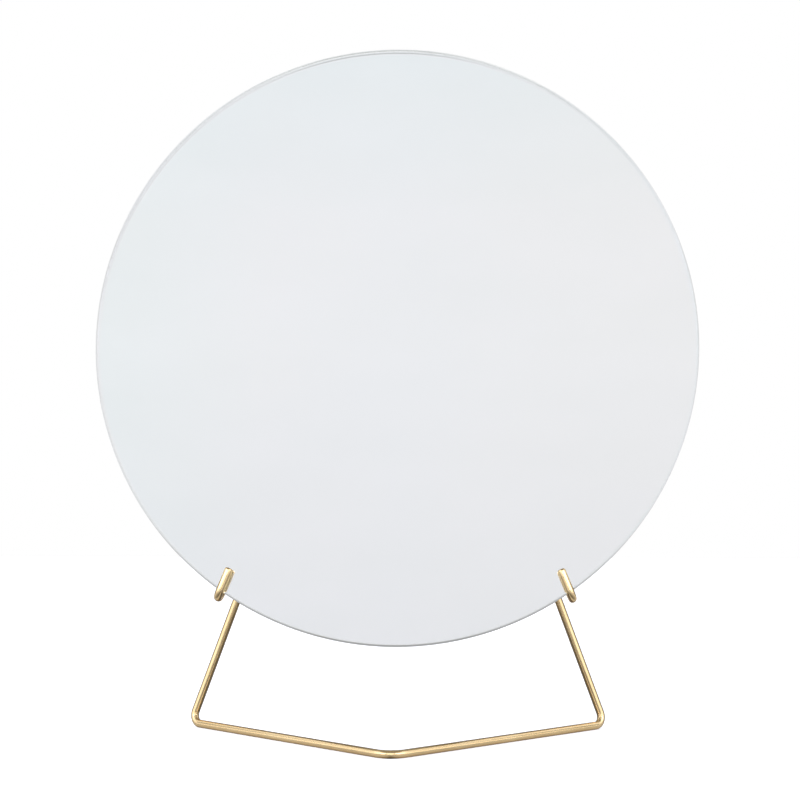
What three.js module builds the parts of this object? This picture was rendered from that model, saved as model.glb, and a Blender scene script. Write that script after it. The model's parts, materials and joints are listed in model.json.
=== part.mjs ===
// Countertop mirror: a round glass mirror that leans back in a stand bent from one brass rod.
// Millimetres, +Z up. The mirror faces -Y and the rod rests on z = 0.
import * as THREE from 'three';

const { degToRad } = THREE.MathUtils;

// Mirror
const MIRROR_RADIUS = 150;
const MIRROR_SEGMENTS = 180;
const MIRROR_LEAN = degToRad(9);
const MIRROR_CENTRE_HEIGHT = 194;
const GLASS_THICKNESS = 5;
const GLASS_ARRIS = 1;
const SILVER_THICKNESS = 0.2;
const SILVER_INSET = 1.1;
const FILM_THICKNESS = 0.4;
const FILM_INSET = 1.7;
const LAYER_GAP = 0.2;
const STACK_THICKNESS = GLASS_THICKNESS + SILVER_THICKNESS + FILM_THICKNESS + 2 * LAYER_GAP;

// Rod
const ROD_RADIUS = 2;
const ROD_SIDES = 12;
const BEND_STEP = degToRad(15);

// Base: a V on the table that points forward, with a leg rising from each end
const VERTEX_Y = -82;
const VERTEX_BEND = 9.5;
const CORNER_X = 104.4;
const CORNER_Y = 18;
const CORNER_BEND = 5;
const LEG_SLOPE = 0.373;

// Loops behind the mirror and hooks around its rim, measured in the plane of the mirror
const LOOP_TOP = -6;
const LOOP_BEND = 5.4;
const RIM_ANGLE = degToRad(-55.1);
const HOOK_LEAN = degToRad(22.4);
const HOOK_BELOW_RIM = 3.3;
const HOOK_ABOVE_RIM = 12;
const HOOK_BEND = 4.2;
const BACK_CLEARANCE = 0.3;
const FRONT_CLEARANCE = 0.8;

const glassFinish = new THREE.MeshStandardMaterial({ color: 0xdfe6e6, roughness: 0.03, metalness: 0 });
const silverFinish = new THREE.MeshStandardMaterial({ color: 0xe9eaec, roughness: 0.02, metalness: 1 });
const filmFinish = new THREE.MeshStandardMaterial({ color: 0x8d9092, roughness: 0.6, metalness: 0 });
const brassFinish = new THREE.MeshStandardMaterial({ color: 0xd2b07a, roughness: 0.25, metalness: 1 });

// A path through straight runs and bends, which keeps its section level where it lies on the table
class RodPath extends THREE.Curve {
  constructor(stations, tangents, levelIndex) {
    super();
    this.stations = stations;
    this.tangents = tangents;
    this.normals = [];
    this.normals[levelIndex] = new THREE.Vector3(0, 0, 1);
    for (let i = levelIndex + 1; i < stations.length; i += 1) this.carryNormal(i - 1, i);
    for (let i = levelIndex - 1; i >= 0; i -= 1) this.carryNormal(i + 1, i);
  }

  // Turns the section by the smallest turn that takes one tangent to the next
  carryNormal(from, to) {
    const turn = new THREE.Quaternion().setFromUnitVectors(this.tangents[from], this.tangents[to]);
    this.normals[to] = this.normals[from].clone().applyQuaternion(turn);
  }

  getSpacedPoints() {
    return this.stations;
  }

  computeFrenetFrames() {
    const binormals = this.tangents.map((t, i) => new THREE.Vector3().crossVectors(t, this.normals[i]));
    return { tangents: this.tangents, normals: this.normals, binormals };
  }
}

// Rounds each inner corner of a route to its bend radius, and gives the stations and their tangents
function bendRoute(corners) {
  const stations = [corners[0].point];
  const tangents = [corners[1].point.clone().sub(corners[0].point).normalize()];
  for (let i = 1; i < corners.length - 1; i += 1) {
    const { point, bend } = corners[i];
    const before = point.clone().sub(corners[i - 1].point).normalize();
    const after = corners[i + 1].point.clone().sub(point).normalize();
    const turn = before.angleTo(after);
    const axis = new THREE.Vector3().crossVectors(before, after).normalize();
    const start = point.clone().addScaledVector(before, -bend * Math.tan(turn / 2));
    const outward = new THREE.Vector3().crossVectors(before, axis);
    const centre = start.clone().addScaledVector(outward, -bend);
    const steps = 2 * Math.ceil(turn / BEND_STEP / 2);
    for (let step = 0; step <= steps; step += 1) {
      const angle = (turn * step) / steps;
      stations.push(outward.clone().applyAxisAngle(axis, angle).multiplyScalar(bend).add(centre));
      tangents.push(before.clone().applyAxisAngle(axis, angle));
    }
  }
  const last = corners[corners.length - 1].point;
  stations.push(last);
  tangents.push(last.clone().sub(corners[corners.length - 2].point).normalize());
  return { stations, tangents };
}

// A point at u across and v up the mirror from its centre, and depth behind its front face
function onMirror(u, v, depth) {
  const up = new THREE.Vector3(0, Math.sin(MIRROR_LEAN), Math.cos(MIRROR_LEAN));
  const back = new THREE.Vector3(0, Math.cos(MIRROR_LEAN), -Math.sin(MIRROR_LEAN));
  const centre = new THREE.Vector3(u, 0, MIRROR_CENTRE_HEIGHT);
  return centre.addScaledVector(up, v).addScaledVector(back, depth);
}

// A point on the hook's line, at a distance above the place where it crosses the rim
function onHook(above, depth) {
  const u = MIRROR_RADIUS * Math.cos(RIM_ANGLE) - above * Math.sin(HOOK_LEAN);
  const v = MIRROR_RADIUS * Math.sin(RIM_ANGLE) + above * Math.cos(HOOK_LEAN);
  return onMirror(u, v, depth);
}

// The right half of the rod's route, from the corner on the table to the hook's tip
function rightHalf() {
  const backDepth = STACK_THICKNESS + BACK_CLEARANCE + ROD_RADIUS;
  const frontDepth = -FRONT_CLEARANCE - ROD_RADIUS;
  const loopAbove = (LOOP_TOP - MIRROR_RADIUS * Math.sin(RIM_ANGLE)) / Math.cos(HOOK_LEAN);
  const loopFront = onHook(loopAbove, backDepth);
  const legTopX = CORNER_X - LEG_SLOPE * (loopFront.z - ROD_RADIUS);
  return [
    { point: new THREE.Vector3(CORNER_X, CORNER_Y, ROD_RADIUS), bend: CORNER_BEND },
    { point: new THREE.Vector3(legTopX, CORNER_Y, loopFront.z), bend: LOOP_BEND },
    { point: loopFront, bend: LOOP_BEND },
    { point: onHook(-HOOK_BELOW_RIM, backDepth), bend: HOOK_BEND },
    { point: onHook(-HOOK_BELOW_RIM, frontDepth), bend: HOOK_BEND },
    { point: onHook(HOOK_ABOVE_RIM, frontDepth) },
  ];
}

function makeStand() {
  const right = rightHalf();
  const mirrored = ({ point, bend }) => ({ point: new THREE.Vector3(-point.x, point.y, point.z), bend });
  const left = right.map(mirrored).reverse();
  const vertex = { point: new THREE.Vector3(0, VERTEX_Y, ROD_RADIUS), bend: VERTEX_BEND };
  const { stations, tangents } = bendRoute([...left, vertex, ...right]);
  const path = new RodPath(stations, tangents, (stations.length - 1) / 2);

  const cornerRadius = ROD_RADIUS / Math.cos(Math.PI / ROD_SIDES);
  const section = new THREE.Shape();
  for (let side = 0; side < ROD_SIDES; side += 1) {
    const angle = ((side + 0.5) * 2 * Math.PI) / ROD_SIDES;
    const place = side === 0 ? 'moveTo' : 'lineTo';
    section[place](cornerRadius * Math.cos(angle), cornerRadius * Math.sin(angle));
  }
  const options = { steps: stations.length - 1, extrudePath: path, curveSegments: 1 };
  const stand = new THREE.Mesh(new THREE.ExtrudeGeometry(section, options), brassFinish);
  stand.name = 'wire_stand';
  return stand;
}

// A disc about the Y axis, with its front at y = -depth and an arris of the given size on both rims
function makeDisc(name, radius, thickness, depth, arris, finish) {
  const front = -depth;
  const back = -depth - thickness;
  const profile = [
    new THREE.Vector2(0, back),
    new THREE.Vector2(radius - arris, back),
    new THREE.Vector2(radius, back + arris),
    new THREE.Vector2(radius, front - arris),
    new THREE.Vector2(radius - arris, front),
    new THREE.Vector2(0, front),
  ];
  const points = arris > 0 ? profile : profile.filter((_, i) => i !== 2 && i !== 3);
  const disc = new THREE.Mesh(new THREE.LatheGeometry(points, MIRROR_SEGMENTS), finish);
  disc.name = name;
  return disc;
}

function makeMirror() {
  const silverDepth = GLASS_THICKNESS + LAYER_GAP;
  const filmDepth = silverDepth + SILVER_THICKNESS + LAYER_GAP;
  const silverRadius = MIRROR_RADIUS - SILVER_INSET;
  const filmRadius = MIRROR_RADIUS - FILM_INSET;
  const mirror = new THREE.Group();
  mirror.add(
    makeDisc('glass_disc', MIRROR_RADIUS, GLASS_THICKNESS, 0, GLASS_ARRIS, glassFinish),
    makeDisc('silver_layer', silverRadius, SILVER_THICKNESS, silverDepth, 0, silverFinish),
    makeDisc('backing_film', filmRadius, FILM_THICKNESS, filmDepth, 0, filmFinish),
  );
  mirror.rotation.x = Math.PI - MIRROR_LEAN;
  mirror.position.z = MIRROR_CENTRE_HEIGHT;
  return mirror;
}

const group = new THREE.Group();
group.add(makeStand(), makeMirror());

// The origin is the middle of the object's outline on the table
const outline = new THREE.Box3().setFromObject(group, true);
group.position.y = -(outline.min.y + outline.max.y) / 2;

export default group;
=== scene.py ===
import json
import math

import bpy
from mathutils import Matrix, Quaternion, Vector


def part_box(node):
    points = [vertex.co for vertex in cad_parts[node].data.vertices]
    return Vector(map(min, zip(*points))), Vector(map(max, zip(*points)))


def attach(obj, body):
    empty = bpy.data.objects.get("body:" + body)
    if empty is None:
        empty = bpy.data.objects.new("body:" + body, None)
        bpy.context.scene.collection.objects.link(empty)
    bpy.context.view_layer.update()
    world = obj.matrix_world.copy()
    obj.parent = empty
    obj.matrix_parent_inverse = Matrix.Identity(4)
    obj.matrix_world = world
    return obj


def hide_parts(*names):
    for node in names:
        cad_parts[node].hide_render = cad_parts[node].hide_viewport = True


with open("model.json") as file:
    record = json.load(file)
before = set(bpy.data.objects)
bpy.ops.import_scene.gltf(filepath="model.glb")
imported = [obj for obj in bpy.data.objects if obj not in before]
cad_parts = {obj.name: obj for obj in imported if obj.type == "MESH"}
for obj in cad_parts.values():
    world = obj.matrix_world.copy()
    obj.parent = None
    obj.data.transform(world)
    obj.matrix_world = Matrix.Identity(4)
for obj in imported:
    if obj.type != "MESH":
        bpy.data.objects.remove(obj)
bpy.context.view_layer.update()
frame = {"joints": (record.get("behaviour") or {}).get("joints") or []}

MM = 0.001

# Mirror, in millimetres. Its lean comes from the way it lifts out of the stand.
MIRROR_RADIUS = 150
GLASS_THICKNESS = 5
GLASS_ARRIS = 1
ARRIS_ROUNDING = 0.3
SILVER_RADIUS = 149.2
SILVER_FRONT = 5.03
SILVER_BACK = 5.1
FILM_RADIUS = 148.3
FILM_FRONT = 5.14
FILM_BACK = 6.0
FILM_ROUNDING = 0.2
RIM_SEGMENTS = 360

# Rod, in millimetres: the same route as the frame's rod, with finer bends
ROD_RADIUS = 2
ROD_SIDES = 40
ROD_END_ROUNDING = 1.1
ROD_END_STEPS = 6
BEND_STEP = math.radians(3)
RUN_STEP = 4
MIRROR_CENTRE_HEIGHT = 194
VERTEX_Y = -82
VERTEX_BEND = 9.5
CORNER_X = 104.4
CORNER_Y = 18
CORNER_BEND = 5
LEG_SLOPE = 0.373
LOOP_TOP = -6
LOOP_BEND = 5.4
RIM_ANGLE = math.radians(-55.1)
HOOK_LEAN = math.radians(22.4)
HOOK_BELOW_RIM = 3.3
HOOK_ABOVE_RIM = 12
HOOK_BEND = 4.2
BACK_CLEARANCE = 0.3
FRONT_CLEARANCE = 0.8
STACK_THICKNESS = 6.0

# Glass: clear on the faces and arrises, and slightly ground on the flat edge between them.
# A mesh face that points at least FLAT_EDGE_OUTWARD away from the axis is on the flat edge.
GLASS_IOR = 1.52
CLEAR_TINTS = (0.985, 0.998, 0.995, 1), (0.975, 0.99, 0.985, 1)
CLEAR_ROUGHNESS = (0.0, 0.012)
GROUND_TINTS = (0.95, 0.96, 0.97, 1), (0.90, 0.92, 0.925, 1)
GROUND_ROUGHNESS = (0.05, 0.12)
GROUND_CLEAR_SHARE = 0.85
FLAT_EDGE_OUTWARD = 0.98

# Brass. Depths are in metres, and creases show where a bend squeezes the metal by CREASE_STRAIN: they are
# wrinkle bumps, and their dark tone is a painted shade on the inner side of each tight bend.
BRASS_TONES = (0.89, 0.67, 0.35, 1), (0.84, 0.60, 0.29, 1)
BRASS_LINE_TONE = (0.70, 0.49, 0.23, 1)
BRASS_LINE_DEPTH = 0.000005
# The crease tone is a painted shade on the squeezed inner side of tight bends.
BRASS_CREASE_SHADE = (0.42, 0.27, 0.11, 1)
BRASS_CREASE_DEPTH = 0.00012
BRASS_ROUGHNESS = (0.17, 0.24)
CREASE_STRAIN = (0.12, 0.4)

# Silver, and the woven film behind it
SILVER_TINTS = (0.935, 0.945, 0.955, 1), (0.945, 0.948, 0.95, 1)
SILVER_ROUGHNESS = 0.01
SILVER_ROUNDING = 0.01
FILM_TONES = (0.32, 0.33, 0.335, 1), (0.39, 0.395, 0.40, 1)
FILM_THREAD_TONE = (0.47, 0.475, 0.48, 1)
FILM_THREAD_DEPTH = 0.00006
FILM_ROUGHNESS = (0.42, 0.6)

# Camera, in millimetres and degrees
CAMERA_PLACE = (46, -1300, 203.4)
CAMERA_TURN = 1.945
CAMERA_DIP = 1.65
CAMERA_LENS = 117.9

# Studio colours. Each is a brightness in linear light, where 1 is white.
WHITE = (1, 1, 1, 1)
FLOOR_TONES = (0.90, 0.90, 0.90, 1), (0.93, 0.93, 0.93, 1)
FLOOR_GLOW = 0.5
FAR_FLOOR_GLOW = 0.85
WALL_GLOW = 0.22
# The near tone below is a painted shadow on the floor around the object, which only metal sees.
TABLE_NEAR_PAINTED_SHADOW = (0.17, 0.165, 0.16, 1)
TABLE_FAR = (0.78, 0.78, 0.78, 1)
# The strip tone below is painted light: pale strips on the floor beside the arms, which only metal sees.
PAINTED_STRIP_LIGHT = (0.74, 0.74, 0.74, 1)
GLASS_TABLE = (0.88, 0.885, 0.89, 1)
GLASS_TABLE_FAR = (0.50, 0.50, 0.50, 1)
ROOM_FRONT = (0.45, 0.45, 0.46, 1)
ROOM_BACK = (0.20, 0.20, 0.21, 1)
CEILING = (0.42, 0.41, 0.405, 1)
SIDES = (0.70, 0.71, 0.72, 1)
SCRIM_LOW = (0.790, 0.775, 0.795, 1)
SCRIM_MIDDLE = (0.855, 0.837, 0.850, 1)
SCRIM_HIGH = (0.810, 0.830, 0.845, 1)
SCRIM_LEFT = (0.975, 1.01, 1.0, 1)
SCRIM_RIGHT = (1.0, 0.99, 0.975, 1)
SOFTBOX_COLOUR = (0.96, 1.0, 1.18)

# Backdrop, in metres
BACKDROP_HALF_WIDTH = 4.0
BACKDROP_FRONT = -5.0
BACKDROP_BACK = 2.2
BACKDROP_BEND = 1.2
BACKDROP_BEND_STEPS = 16
BACKDROP_HEIGHT = 4.5

# Studio places, in metres. Each pair is where a change of tone starts and ends.
FLOOR_GLOW_REACH = (0.5, 2.5)
# The first reach below is where the painted shadow around the object fades into the far tone.
PAINTED_SHADOW_REACH = (0.1, 0.3)
# The three sizes below place the strips of painted light beside the arms.
PAINTED_STRIP_SOFT_EDGE = 0.004
PAINTED_STRIP_WIDTH = 0.03
PAINTED_STRIP_OUTER_EDGE = 0.045
GLASS_TABLE_FRONT = (-1.6, -1.2)
GLASS_TABLE_BACK = (-0.3, 0.1)
GLASS_TABLE_SIDE = (0.2, 0.6)
SCRIM_PLACE = -3.2
SCRIM_HALF_WIDTH = 1.0
SCRIM_HEIGHTS = (0.35, 2.0)
SCRIM_LOW_HEIGHTS = (0.6, 1.2)
SCRIM_HIGH_HEIGHTS = (1.45, 1.8)
SCRIM_LEFT_SPAN = (-0.65, -0.35)
SCRIM_RIGHT_SPAN = (-0.12, 0.42)

# Directions in the room, as parts of a direction of length 1
ROOM_TURN = (-0.6, 0.6)
SIDES_FROM = (0.5, 0.85)
BACK_FROM = (0.0, 0.3)
CEILING_FROM = (0.5, 0.6)

# Lights: name, place, the point each faces, size and power. Metres and watts.
LIGHTS = [
    ("left_softbox", (-1.27, -0.7, 0.77), (0, 0, 0.77), (2.1, 1.5), 12.0),
    ("right_softbox", (1.23, -0.77, 0.77), (0, 0, 0.77), (1.9, 1.5), 10.2),
    ("left_key", (-0.86, -0.78, 0.66), (0, 0, 0.07), (1.05, 0.35), 2.0),
    ("left_high", (-1.05, 0.42, 1.2), (0, 0, 0.07), (1.0, 0.9), 2.7),
    ("right_key", (0.86, -0.78, 0.66), (0, 0, 0.07), (1.05, 0.35), 2.0),
    ("right_high", (1.05, 0.42, 1.2), (0, 0, 0.07), (1.0, 0.9), 2.7),
    ("front_card", (0, -1.5, 0.665), (0, 0, 0.665), (1.0, 0.77), 3.9),
]
BACK_LIGHT = ("back_softbox", (0, 0.9, 1.9), (0, 0, 0.1), (1.6, 0.8), 6)

lift = Vector(frame["joints"][0]["axis"]).normalized()
mirror_back = Vector((0, lift.z, -lift.y))
glass_low, glass_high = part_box("glass_disc")
glass_centre = (glass_low + glass_high) / 2
mirror_centre = glass_centre - mirror_back * (GLASS_THICKNESS * MM / 2)


def on_mirror(u, v, depth):
    """The point u across and v up the mirror from its centre, and depth behind its front, in metres."""
    return mirror_centre + (Vector((u, 0, 0)) + lift * v + mirror_back * depth) * MM


# ---- Meshes ----


def add_mesh(name, verts, faces, smooth_from=None):
    """A new mesh object. Edges sharper than smooth_from, an angle, stay sharp."""
    mesh = bpy.data.meshes.new(name)
    mesh.from_pydata([tuple(v) for v in verts], [], faces)
    mesh.validate()
    if smooth_from is not None:
        mesh.polygons.foreach_set("use_smooth", [True] * len(mesh.polygons))
        mesh.set_sharp_from_angle(angle=smooth_from)
    piece = bpy.data.objects.new(name, mesh)
    bpy.context.scene.collection.objects.link(piece)
    return piece


def round_corners(profile, size, steps=4):
    """The profile with each inner corner cut back by size and replaced by a smooth curve."""
    rounded = [profile[0]]
    for before, corner, after in zip(profile, profile[1:], profile[2:]):
        a = corner + (before - corner).normalized() * size
        b = corner + (after - corner).normalized() * size
        for step in range(steps + 1):
            t = step / steps
            rounded.append(a * (1 - t) ** 2 + corner * 2 * t * (1 - t) + b * t**2)
    rounded.append(profile[-1])
    return rounded


def disc(name, profile):
    """A closed disc on the mirror's axis. Its profile of (radius, depth) starts and ends on the axis."""
    rings = profile[1:-1]
    verts = [on_mirror(0, 0, profile[0].y), on_mirror(0, 0, profile[-1].y)]
    for ring in rings:
        for i in range(RIM_SEGMENTS):
            angle = 2 * math.pi * i / RIM_SEGMENTS
            verts.append(on_mirror(ring.x * math.cos(angle), ring.x * math.sin(angle), ring.y))
    last = 2 + (len(rings) - 1) * RIM_SEGMENTS
    faces = []
    for i in range(RIM_SEGMENTS):
        j = (i + 1) % RIM_SEGMENTS
        faces.append((0, 2 + i, 2 + j))
        faces.append((1, last + j, last + i))
        for ring in range(len(rings) - 1):
            start = 2 + ring * RIM_SEGMENTS
            after = start + RIM_SEGMENTS
            faces.append((start + i, after + i, after + j, start + j))
    piece = add_mesh(name, verts, faces, smooth_from=math.radians(30))
    for face in piece.data.polygons:
        if len(face.vertices) == 3:
            face.use_smooth = False
    return piece


def bend_route(corners):
    """Stations and tangents along a route of (point, bend radius) corners, rounded at each inner one."""
    stations, tangents = [], []
    start = corners[0][0]
    for i in range(1, len(corners)):
        point, bend = corners[i]
        before = (point - corners[i - 1][0]).normalized()
        if i < len(corners) - 1:
            after = (corners[i + 1][0] - point).normalized()
            turn = before.angle(after)
            end = point - before * (bend * math.tan(turn / 2))
        else:
            turn, end = 0, point
        runs = max(1, round((end - start).length / RUN_STEP))
        first_step = 0 if i == 1 else 1
        last_step = runs if turn == 0 else runs - 1
        for step in range(first_step, last_step + 1):
            stations.append(start.lerp(end, step / runs))
            tangents.append(before)
        if turn:
            axis = before.cross(after).normalized()
            outward = before.cross(axis)
            centre = end - outward * bend
            steps = 2 * math.ceil(turn / BEND_STEP / 2)
            for step in range(steps + 1):
                turned = Quaternion(axis, turn * step / steps)
                stations.append(centre + turned @ outward * bend)
                tangents.append(turned @ before)
            start = stations[-1]
    return stations, tangents


def on_hook(above, depth):
    """A point on the right hook's line, above its crossing of the rim, in the stand's millimetres."""
    u = MIRROR_RADIUS * math.cos(RIM_ANGLE) - above * math.sin(HOOK_LEAN)
    v = MIRROR_RADIUS * math.sin(RIM_ANGLE) + above * math.cos(HOOK_LEAN)
    centre = Vector((u, 0, MIRROR_CENTRE_HEIGHT))
    return centre + lift * v + mirror_back * depth


def rod_route():
    """The corners of the whole rod, from the left hook's tip to the right one's, in millimetres."""
    back_depth = STACK_THICKNESS + BACK_CLEARANCE + ROD_RADIUS
    front_depth = -FRONT_CLEARANCE - ROD_RADIUS
    loop_above = (LOOP_TOP - MIRROR_RADIUS * math.sin(RIM_ANGLE)) / math.cos(HOOK_LEAN)
    loop_front = on_hook(loop_above, back_depth)
    leg_top_x = CORNER_X - LEG_SLOPE * (loop_front.z - ROD_RADIUS)
    right = [
        (Vector((CORNER_X, CORNER_Y, ROD_RADIUS)), CORNER_BEND),
        (Vector((leg_top_x, CORNER_Y, loop_front.z)), LOOP_BEND),
        (loop_front, LOOP_BEND),
        (on_hook(-HOOK_BELOW_RIM, back_depth), HOOK_BEND),
        (on_hook(-HOOK_BELOW_RIM, front_depth), HOOK_BEND),
        (on_hook(HOOK_ABOVE_RIM, front_depth), 0),
    ]
    left = [(Vector((-p.x, p.y, p.z)), bend) for p, bend in reversed(right)]
    return [*left, (Vector((0, VERTEX_Y, ROD_RADIUS)), VERTEX_BEND), *right]


def rounded_end(ring, way):
    """Rings that round off an end, in place of its one ring. The way is 1 at the start, -1 at the end."""
    p, t, n, c, _ = ring
    rings = []
    for step in range(ROD_END_STEPS + 1):
        angle = math.pi / 2 * step / ROD_END_STEPS
        inset = ROD_END_ROUNDING * (1 - math.sin(angle))
        radius = ROD_RADIUS - ROD_END_ROUNDING * (1 - math.cos(angle))
        rings.append((p + t * way * inset, t, n, c, radius))
    return rings


def make_rod():
    """The bent rod. Its mesh carries coordinates around, across and along it, in metres, and how much
    each bend squeezes (above 0) or stretches (below 0) the metal."""
    stations, tangents = bend_route(rod_route())
    middle = len(stations) // 2
    normals = [None] * len(stations)
    normals[middle] = Vector((0, 0, 1))
    for order in (range(middle + 1, len(stations)), range(middle - 1, -1, -1)):
        previous = middle
        for i in order:
            normals[i] = tangents[previous].rotation_difference(tangents[i]) @ normals[previous]
            previous = i
    curls = [Vector()] * len(stations)
    for i in range(1, len(stations) - 1):
        curls[i] = (tangents[i + 1] - tangents[i - 1]) / (stations[i + 1] - stations[i - 1]).length
    rings = [(p, t, n, c, ROD_RADIUS) for p, t, n, c in zip(stations, tangents, normals, curls)]
    rings[0:1] = reversed(rounded_end(rings[0], 1))
    rings[-1:] = rounded_end(rings[-1], -1)
    verts, along, strain, travelled = [], [], [], 0
    for k, (p, t, n, curl, radius) in enumerate(rings):
        side = t.cross(n)
        travelled += (p - rings[k - 1][0]).length if k else 0
        for s in range(ROD_SIDES):
            angle = 2 * math.pi * s / ROD_SIDES
            offset = n * (radius * math.cos(angle)) + side * (radius * math.sin(angle))
            verts.append((p + offset) * MM)
            along.append(Vector((radius * math.cos(angle), radius * math.sin(angle), travelled)) * MM)
            strain.append(curl.dot(offset))
    faces = [tuple(reversed(range(ROD_SIDES)))]
    for k in range(len(rings) - 1):
        for s in range(ROD_SIDES):
            a, b = k * ROD_SIDES + s, k * ROD_SIDES + (s + 1) % ROD_SIDES
            faces.append((a, b, b + ROD_SIDES, a + ROD_SIDES))
    faces.append(tuple((len(rings) - 1) * ROD_SIDES + s for s in range(ROD_SIDES)))
    ys = [v.y for v in verts]
    low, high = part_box("wire_stand")
    shift = Vector((0, (low.y + high.y) / 2 - (min(ys) + max(ys)) / 2, 0))
    piece = add_mesh("brass_rod", [v + shift for v in verts], faces, smooth_from=math.radians(35))
    attribute = piece.data.attributes.new("rod_coord", "FLOAT_VECTOR", "POINT")
    attribute.data.foreach_set("vector", [c for point in along for c in point])
    attribute = piece.data.attributes.new("rod_strain", "FLOAT", "POINT")
    attribute.data.foreach_set("value", strain)
    return piece


# ---- Materials ----


class Nodes:
    """The node tree of a material or a world, with short ways to add and join nodes."""

    def __init__(self, owner):
        owner.use_nodes = True
        self.owner = owner
        self.tree = owner.node_tree
        self.output = next(node for node in self.tree.nodes if node.type.startswith("OUTPUT"))
        self.shader = next(node for node in self.tree.nodes if node != self.output)

    def add(self, kind, settings=None, **inputs):
        node = self.tree.nodes.new(kind)
        for key, value in (settings or {}).items():
            setattr(node, key, value)
        for key, value in inputs.items():
            self.set(node, key.replace("_", " "), value)
        return node

    def set(self, node, key, value):
        socket = node.inputs[key]
        if isinstance(value, bpy.types.NodeSocket):
            self.tree.links.new(value, socket)
        else:
            socket.default_value = value

    def noise(self, vector, scale, detail=2.0, roughness=0.5):
        node = self.add("ShaderNodeTexNoise", Vector=vector, Scale=scale, Detail=detail,
                        Roughness=roughness)
        return node.outputs["Fac"]

    def stretched(self, vector, scale, turn=(0, 0, 0)):
        node = self.add("ShaderNodeMapping", Vector=vector, Scale=scale, Rotation=turn)
        return node.outputs["Vector"]

    def span(self, value, low, high, to_low=0.0, to_high=1.0):
        node = self.add("ShaderNodeMapRange", Value=value)
        for key, number in zip(("From Min", "From Max", "To Min", "To Max"), (low, high, to_low, to_high)):
            node.inputs[key].default_value = number
        return node.outputs["Result"]

    def math(self, operation, *numbers):
        node = self.add("ShaderNodeMath", {"operation": operation})
        for key, number in enumerate(numbers):
            self.set(node, key, number)
        return node.outputs["Value"]

    def vector_math(self, operation, *vectors):
        node = self.add("ShaderNodeVectorMath", {"operation": operation})
        for key, vector in enumerate(vectors):
            self.set(node, key, vector)
        return node.outputs["Value" if operation in ("LENGTH", "DOT_PRODUCT") else "Vector"]

    def mix(self, factor, first, second, blend="MIX"):
        node = self.add("ShaderNodeMix", {"data_type": "RGBA", "blend_type": blend})
        self.set(node, 0, factor)
        self.set(node, 6, first)
        self.set(node, 7, second)
        return node.outputs[2]

    def bump(self, height, distance, strength, **inputs):
        node = self.add("ShaderNodeBump", Height=height, Strength=strength, Distance=distance, **inputs)
        return node.outputs["Normal"]


def brass_material():
    n = Nodes(bpy.data.materials.new("brass"))
    coord = n.add("ShaderNodeAttribute", {"attribute_name": "rod_coord"}).outputs["Vector"]
    strain = n.add("ShaderNodeAttribute", {"attribute_name": "rod_strain"}).outputs["Fac"]
    draw_lines = n.noise(n.stretched(coord, (1500, 1500, 9)), 1.0, 2.0, 0.5)
    polish = n.noise(n.stretched(coord, (260, 260, 60), (0.5, 0, 0)), 1.0, 2.0)
    tarnish = n.noise(coord, 45.0, 3.0, 0.5)
    wrinkles = n.noise(n.stretched(coord, (420, 420, 1500)), 1.0, 2.0)
    base = n.mix(n.span(tarnish, 0.35, 0.7), *BRASS_TONES)
    base = n.mix(n.span(draw_lines, 0.42, 0.75, 0, 0.4), base, BRASS_LINE_TONE)
    # Wrinkle bumps on the inner side of tight bends, which also carry a painted shade there.
    crease_bumps_and_shade = n.math("MULTIPLY", n.span(wrinkles, 0.48, 0.6), n.span(strain, *CREASE_STRAIN))
    n.set(n.shader, "Base Color", n.mix(crease_bumps_and_shade, base, BRASS_CREASE_SHADE))
    n.set(n.shader, "Metallic", 1.0)
    n.set(n.shader, "Roughness", n.span(polish, 0.3, 0.7, *BRASS_ROUGHNESS))
    lines = n.bump(draw_lines, BRASS_LINE_DEPTH, 0.25)
    n.set(n.shader, "Normal", n.bump(crease_bumps_and_shade, BRASS_CREASE_DEPTH, 0.8, Normal=lines))
    return n.owner


def glass_material(name, roughness, scale, clear_share, tints):
    """Glass with the given share of clear light. The rest is the pale grey of a ground surface."""
    n = Nodes(bpy.data.materials.new(name))
    coord = n.add("ShaderNodeTexCoord").outputs["Object"]
    smears = n.noise(n.stretched(coord, scale), 1.0, 3.0)
    tint = n.mix(n.span(smears, 0.3, 0.7), *tints)
    n.set(n.shader, "Base Color", tint)
    n.set(n.shader, "Roughness", n.span(smears, 0.4, 0.75, *roughness))
    n.set(n.shader, "Transmission Weight", clear_share)
    n.set(n.shader, "IOR", GLASS_IOR)
    return n.owner


def silver_material():
    n = Nodes(bpy.data.materials.new("silvering"))
    coord = n.add("ShaderNodeTexCoord").outputs["Object"]
    cloud = n.noise(coord, 9.0, 3.0)
    n.set(n.shader, "Base Color", n.mix(n.span(cloud, 0.3, 0.7), *SILVER_TINTS))
    n.set(n.shader, "Metallic", 1.0)
    n.set(n.shader, "Roughness", SILVER_ROUGHNESS)
    return n.owner


def film_material():
    n = Nodes(bpy.data.materials.new("grey_film"))
    coord = n.add("ShaderNodeTexCoord").outputs["Object"]
    warp = n.add("ShaderNodeTexWave", {"bands_direction": "X"}, Vector=coord, Scale=330.0, Distortion=0.6)
    weft = n.add("ShaderNodeTexWave", {"bands_direction": "Z"}, Vector=coord, Scale=330.0, Distortion=0.6)
    weave = n.math("MAXIMUM", warp.outputs["Fac"], weft.outputs["Fac"])
    cloud = n.noise(coord, 22.0, 5.0, 0.6)
    base = n.mix(n.span(cloud, 0.3, 0.7), *FILM_TONES)
    n.set(n.shader, "Base Color", n.mix(n.span(weave, 0.2, 1.0), base, FILM_THREAD_TONE))
    n.set(n.shader, "Roughness", n.span(cloud, 0.3, 0.7, *FILM_ROUGHNESS))
    n.set(n.shader, "Normal", n.bump(weave, FILM_THREAD_DEPTH, 0.6))
    return n.owner


# ---- Pieces ----


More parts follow.
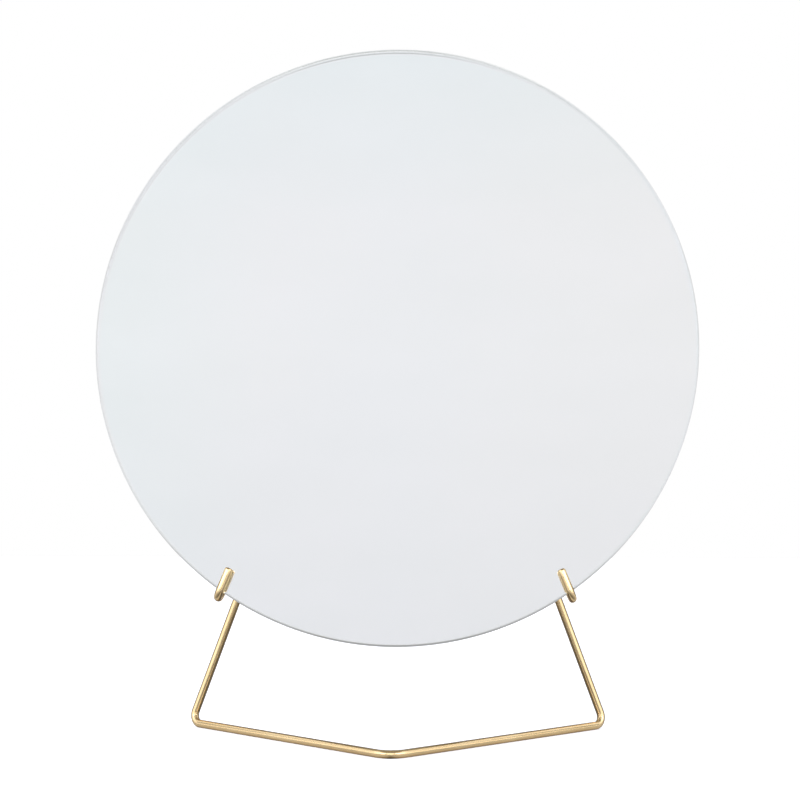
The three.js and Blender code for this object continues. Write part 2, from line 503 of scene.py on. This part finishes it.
def make_glass():
    edge = [
        Vector((0, 0)),
        Vector((MIRROR_RADIUS - GLASS_ARRIS, 0)),
        Vector((MIRROR_RADIUS, GLASS_ARRIS)),
        Vector((MIRROR_RADIUS, GLASS_THICKNESS - GLASS_ARRIS)),
        Vector((MIRROR_RADIUS - GLASS_ARRIS, GLASS_THICKNESS)),
        Vector((0, GLASS_THICKNESS)),
    ]
    glass = disc("glass", round_corners(edge, ARRIS_ROUNDING))
    clear = glass_material("glass_face", CLEAR_ROUGHNESS, (14, 14, 40), 1.0, CLEAR_TINTS)
    ground = glass_material(
        "glass_edge", GROUND_ROUGHNESS, (900, 900, 900), GROUND_CLEAR_SHARE, GROUND_TINTS)
    glass.data.materials.append(clear)
    glass.data.materials.append(ground)
    for face in glass.data.polygons:
        outward = face.normal - mirror_back * face.normal.dot(mirror_back)
        face.material_index = 1 if outward.length > FLAT_EDGE_OUTWARD else 0
    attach(glass, "mirror")
    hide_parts("glass_disc")


def make_layer(name, radius, front, back, rounding, material, node):
    profile = [Vector((0, front)), Vector((radius, front)), Vector((radius, back)), Vector((0, back))]
    layer = disc(name, round_corners(profile, rounding))
    layer.data.materials.append(material)
    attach(layer, "mirror")
    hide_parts(node)


rod = make_rod()
rod.data.materials.append(brass_material())
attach(rod, "stand")
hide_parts("wire_stand")

make_glass()
make_layer("silver_coat", SILVER_RADIUS, SILVER_FRONT, SILVER_BACK, SILVER_ROUNDING,
           silver_material(), "silver_layer")
make_layer("safety_film", FILM_RADIUS, FILM_FRONT, FILM_BACK, FILM_ROUNDING,
           film_material(), "backing_film")


# ---- Studio ----


def mix_shaders(n, factor, first, second):
    node = n.add("ShaderNodeMixShader")
    for key, value in enumerate((factor, first, second)):
        n.set(node, key, value)
    return node.outputs["Shader"]


def beside_arms(n, coord):
    """1 on a pale strip of painted light along the outer side of each arm of the stand's base, 0 off it."""
    folded = n.vector_math("ABSOLUTE", n.stretched(coord, (1, 0, 0)))
    on_right = n.vector_math("ADD", folded, n.stretched(coord, (0, 1, 0)))
    arm = Vector((CORNER_X, CORNER_Y - VERTEX_Y, 0)).normalized()
    outward = n.vector_math("DOT_PRODUCT", on_right, (arm.y, -arm.x, 0))
    start = -arm.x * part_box("wire_stand")[0].y
    inner = n.span(outward, start, start + PAINTED_STRIP_SOFT_EDGE)
    outer = n.span(outward, start + PAINTED_STRIP_WIDTH, start + PAINTED_STRIP_OUTER_EDGE, 1, 0)
    return n.math("MULTIPLY", inner, outer)


def floor_material():
    """Pale to the eye. Metal sees a grey floor with a painted shadow around the object and pale strips of
    painted light beside the arms, and glass one that greys far in front.
    """
    n = Nodes(bpy.data.materials.new("studio_floor"))
    coord = n.add("ShaderNodeTexCoord").outputs["Object"]
    distance = n.vector_math("LENGTH", coord)
    place = n.add("ShaderNodeSeparateXYZ", Vector=coord).outputs
    path = n.add("ShaderNodeLightPath").outputs

    n.set(n.shader, "Base Color", n.mix(n.noise(coord, 3.0), *FLOOR_TONES))
    n.set(n.shader, "Roughness", 0.9)
    n.set(n.shader, "Emission Color", WHITE)
    glow = n.span(distance, *FLOOR_GLOW_REACH, FLOOR_GLOW, FAR_FLOOR_GLOW)
    n.set(n.shader, "Emission Strength", glow)

    # A painted shadow darkens the floor that metal sees within reach of the object.
    table_with_painted_shadow = n.mix(n.span(distance, *PAINTED_SHADOW_REACH), TABLE_NEAR_PAINTED_SHADOW, TABLE_FAR)
    # Pale strips of painted light beside the arms, for metal to reflect.
    to_metal = n.add("ShaderNodeBsdfDiffuse", Color=n.mix(beside_arms(n, coord), table_with_painted_shadow, PAINTED_STRIP_LIGHT))

    aside = n.span(n.math("ABSOLUTE", place["X"]), *GLASS_TABLE_SIDE)
    far_front = n.mix(aside, GLASS_TABLE_FAR, GLASS_TABLE)
    front = n.mix(n.span(place["Y"], *GLASS_TABLE_FRONT), far_front, GLASS_TABLE)
    whole = n.mix(n.span(place["Y"], *GLASS_TABLE_BACK), front, WHITE)
    to_glass = n.add("ShaderNodeEmission", Color=whole)

    sent = mix_shaders(n, path["Is Transmission Ray"], to_metal.outputs[0], to_glass.outputs[0])
    seen = mix_shaders(n, path["Is Camera Ray"], sent, n.shader.outputs["BSDF"])
    n.set(n.output, "Surface", seen)
    return n.owner


def wall_material():
    """White to the eye and through glass, and dim to metal."""
    n = Nodes(bpy.data.materials.new("studio_wall"))
    path = n.add("ShaderNodeLightPath").outputs
    plain = n.math("MAXIMUM", path["Is Camera Ray"], path["Is Transmission Ray"])
    glow = n.add("ShaderNodeEmission", Color=WHITE, Strength=n.span(plain, 0, 1, WALL_GLOW, 1.0))
    n.set(n.output, "Surface", glow.outputs["Emission"])
    return n.owner


def make_backdrop():
    """A pale floor that curves up into a wall behind the object."""
    bend_start = BACKDROP_BACK - BACKDROP_BEND
    outline = [(BACKDROP_FRONT, 0.0), (bend_start, 0.0)]
    for step in range(1, BACKDROP_BEND_STEPS + 1):
        angle = math.pi / 2 * step / BACKDROP_BEND_STEPS
        outline.append((bend_start + BACKDROP_BEND * math.sin(angle), BACKDROP_BEND * (1 - math.cos(angle))))
    outline.append((BACKDROP_BACK, BACKDROP_HEIGHT))
    verts = [(x, y, z) for y, z in outline for x in (-BACKDROP_HALF_WIDTH, BACKDROP_HALF_WIDTH)]
    faces = [(2 * i, 2 * i + 1, 2 * i + 3, 2 * i + 2) for i in range(len(outline) - 1)]
    backdrop = add_mesh("studio_floor", verts, faces, smooth_from=math.radians(40))
    backdrop.data.materials.append(floor_material())
    backdrop.data.materials.append(wall_material())
    for face in backdrop.data.polygons:
        face.material_index = 0 if face.index == 0 else 1


def make_scrim():
    """The bright wall behind the camera, which the mirror reflects. Its tint drifts a little."""
    low, high = SCRIM_HEIGHTS
    verts = [(x, SCRIM_PLACE, z) for z in (low, high) for x in (-SCRIM_HALF_WIDTH, SCRIM_HALF_WIDTH)]
    scrim = add_mesh("studio_scrim", verts, [(0, 1, 3, 2)])
    n = Nodes(bpy.data.materials.new("studio_scrim"))
    place = n.add("ShaderNodeSeparateXYZ", Vector=n.add("ShaderNodeTexCoord").outputs["Object"]).outputs
    lower = n.mix(n.span(place["Z"], *SCRIM_LOW_HEIGHTS), SCRIM_LOW, SCRIM_MIDDLE)
    upward = n.mix(n.span(place["Z"], *SCRIM_HIGH_HEIGHTS), lower, SCRIM_HIGH)
    left = n.mix(n.span(place["X"], *SCRIM_LEFT_SPAN), SCRIM_LEFT, WHITE)
    across = n.mix(n.span(place["X"], *SCRIM_RIGHT_SPAN), left, SCRIM_RIGHT)
    glow = n.add("ShaderNodeEmission", Strength=1.0, Color=n.mix(1.0, upward, across, "MULTIPLY"))
    n.set(n.output, "Surface", glow.outputs["Emission"])
    scrim.data.materials.append(n.owner)
    scrim.visible_camera = False


def area_light(name, place, target, size, power, colour):
    """A soft light that neither the camera nor the glass sees."""
    data = bpy.data.lights.new(name, "AREA")
    data.shape = "RECTANGLE"
    data.size, data.size_y = size
    data.energy = power
    data.color = colour
    light = bpy.data.objects.new(name, data)
    light.location = place
    light.rotation_euler = (Vector(target) - Vector(place)).to_track_quat("-Z", "Y").to_euler()
    light.visible_camera = False
    light.visible_transmission = False
    bpy.context.scene.collection.objects.link(light)


def make_camera():
    data = bpy.data.cameras.new("camera")
    data.lens = CAMERA_LENS
    data.clip_end = 50
    camera = bpy.data.objects.new("camera", data)
    camera.location = Vector(CAMERA_PLACE) * MM + Vector((0, mirror_centre.y, 0))
    camera.rotation_euler = (math.radians(90 - CAMERA_DIP), 0, math.radians(CAMERA_TURN))
    bpy.context.scene.collection.objects.link(camera)
    bpy.context.scene.camera = camera


def make_world():
    """White to the camera. Metal sees a dim room, glass a pale one with grey sides and a darker ceiling."""
    n = Nodes(bpy.data.worlds.new("studio"))
    facing = n.add("ShaderNodeSeparateXYZ", Vector=n.add("ShaderNodeTexCoord").outputs["Generated"]).outputs
    to_metal = n.mix(n.span(facing["Y"], *ROOM_TURN), ROOM_FRONT, ROOM_BACK)
    sideways = n.span(n.math("ABSOLUTE", facing["X"]), *SIDES_FROM)
    front = n.mix(sideways, SCRIM_MIDDLE, SIDES)
    around = n.mix(n.span(facing["Y"], *BACK_FROM), front, WHITE)
    to_glass = n.mix(n.span(facing["Z"], *CEILING_FROM), around, CEILING)
    path = n.add("ShaderNodeLightPath").outputs
    sent = n.mix(path["Is Transmission Ray"], to_metal, to_glass)
    n.set(n.shader, "Color", n.mix(path["Is Camera Ray"], sent, WHITE))
    bpy.context.scene.world = n.owner


make_backdrop()
make_scrim()
for light in LIGHTS:
    area_light(*light, SOFTBOX_COLOUR)
area_light(*BACK_LIGHT, (1, 1, 1))
make_camera()
make_world()
bpy.context.scene.view_settings.view_transform = "Standard"
